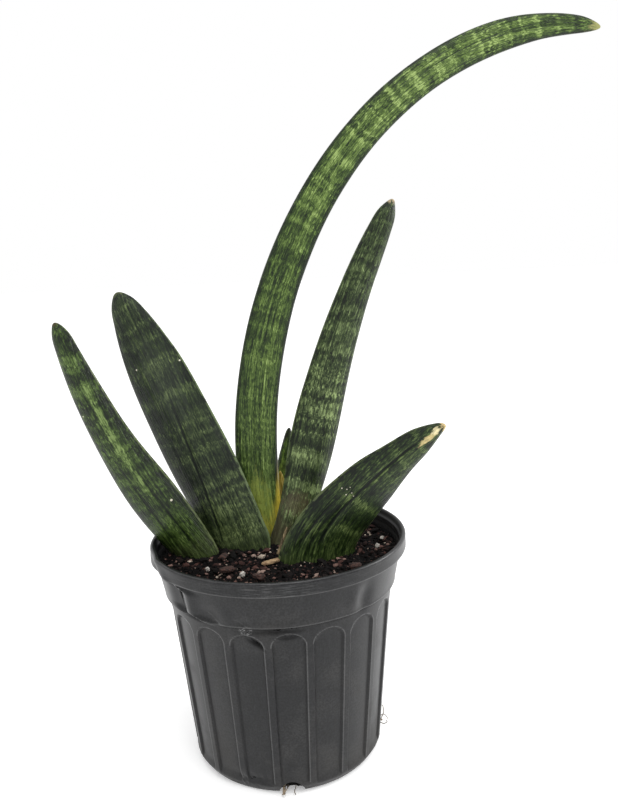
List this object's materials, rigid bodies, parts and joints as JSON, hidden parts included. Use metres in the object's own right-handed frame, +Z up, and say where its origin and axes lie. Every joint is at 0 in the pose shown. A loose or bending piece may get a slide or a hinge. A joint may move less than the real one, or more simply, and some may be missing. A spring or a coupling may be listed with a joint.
{
  "type": "potted snake plant",
  "caption": "Snake plant with thick cross-banded strap leaves, one of them long and arching, growing from soil in a thin black fluted nursery pot with drain holes",
  "frame": {"origin": "centre of the pot's flat underside, on the surface that the pot stands on", "axes": "+Z up; -Y is the front, which the leaves' broad faces look towards; +X is to the right, the way the long leaf arches"},
  "size_m": [0.3298, 0.152, 0.4329],
  "materials": {
    "pot_plastic": "satin",
    "potting_soil": "matte",
    "rhizome": "matte",
    "root": "matte",
    "leaf_far_left": "satin",
    "leaf_left": "satin",
    "leaf_arching": "satin",
    "leaf_upright": "satin",
    "leaf_right": "satin",
    "new_shoot": "satin",
    "sheath": "satin",
    "dry_scale": "matte",
    "bark": "matte",
    "pale_wood": "matte",
    "perlite": "matte"
  },
  "bodies": {
    "root": {"pot": "pot_plastic", "soil": "potting_soil", "rhizome": "rhizome", "root_front": "root", "root_right": "root", "leaf_far_left": "leaf_far_left", "leaf_left": "leaf_left", "leaf_arching": "leaf_arching", "leaf_upright": "leaf_upright", "leaf_right": "leaf_right", "new_shoot": "new_shoot", "yellow_sheath": "sheath", "dry_scale_low": "dry_scale", "dry_scale_high": "dry_scale", "bark_chip_1": "bark", "bark_chip_2": "bark", "bark_chip_3": "bark", "bark_chip_4": "bark", "bark_chip_5": "bark", "bark_chip_6": "bark", "wood_splinter": "pale_wood", "perlite_1": "perlite", "perlite_2": "perlite", "perlite_3": "perlite", "perlite_4": "perlite", "perlite_5": "perlite", "perlite_6": "perlite"}
  },
  "joints": []
}
